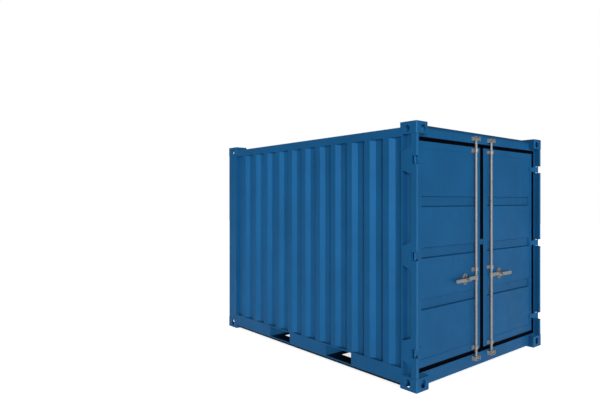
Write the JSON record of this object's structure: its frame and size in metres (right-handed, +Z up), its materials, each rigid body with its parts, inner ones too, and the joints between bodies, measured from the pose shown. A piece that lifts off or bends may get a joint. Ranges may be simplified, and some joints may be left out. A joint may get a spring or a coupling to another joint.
{
  "type": "shipping container",
  "caption": "Short steel storage container with corrugated walls, corner castings, fork pockets and two hinged doors with lock rods.",
  "frame": {"origin": "centre of the footprint, on the plane of the bottom castings", "axes": "+Z up, -Y towards the door end, +X across the width; the longest side runs along Y"},
  "size_m": [2.2, 2.931, 2.26],
  "materials": {
    "blue_paint": "satin",
    "undercoat": "matte",
    "galvanised": "matte",
    "pin_steel": "satin",
    "seal_rubber": "matte",
    "plywood": "matte"
  },
  "bodies": {
    "container": {"castings_door_bottom": "blue_paint", "castings_door_top": "blue_paint", "castings_rear_bottom": "blue_paint", "castings_rear_top": "blue_paint", "front_post_left": "blue_paint", "front_post_right": "blue_paint", "rear_post_left": "blue_paint", "rear_post_right": "blue_paint", "top_rail_left": "blue_paint", "top_rail_right": "blue_paint", "bottom_rail_left": "blue_paint", "bottom_rail_right": "blue_paint", "header": "blue_paint", "sill": "blue_paint", "rear_top_rail": "blue_paint", "rear_bottom_rail": "blue_paint", "side_wall_left": "blue_paint", "side_wall_right": "blue_paint", "rear_wall": "blue_paint", "roof": "blue_paint", "cross_members": "undercoat", "fork_pockets": "undercoat", "floor": "plywood", "hinge_pins_left": "pin_steel", "hinge_pins_right": "pin_steel", "keepers": "galvanised"},
    "door_left": {"door_leaf_left": "blue_paint", "gasket_left": "seal_rubber", "hinge_blades_left": "blue_paint", "rod_guides_left": "galvanised", "handle_catch_left": "galvanised", "centre_tab": "blue_paint"},
    "door_right": {"door_leaf_right": "blue_paint", "gasket_right": "seal_rubber", "hinge_blades_right": "blue_paint", "rod_guides_right": "galvanised", "handle_catch_right": "galvanised"},
    "rod_left": {"lock_rod_left": "galvanised", "lock_handle_left": "galvanised"},
    "rod_right": {"lock_rod_right": "galvanised", "lock_handle_right": "galvanised"}
  },
  "joints": [
    {"name": "door_left_swing", "type": "hinge", "parent": "container", "child": "door_left", "pos_m": [-1.08, -1.4345, 1.13], "axis": [0, 0, -1], "range_deg": [0, 242]},
    {"name": "door_right_swing", "type": "hinge", "parent": "container", "child": "door_right", "pos_m": [1.08, -1.4345, 1.13], "axis": [0, 0, 1], "range_deg": [0, 242]},
    {"name": "rod_left_turn", "type": "hinge", "parent": "door_left", "child": "rod_left", "pos_m": [-0.137, -1.4245, 1.13], "axis": [0, 0, 1], "range_deg": [0, 95]},
    {"name": "rod_right_turn", "type": "hinge", "parent": "door_right", "child": "rod_right", "pos_m": [0.137, -1.4245, 1.13], "axis": [0, 0, -1], "range_deg": [0, 95]}
  ]
}
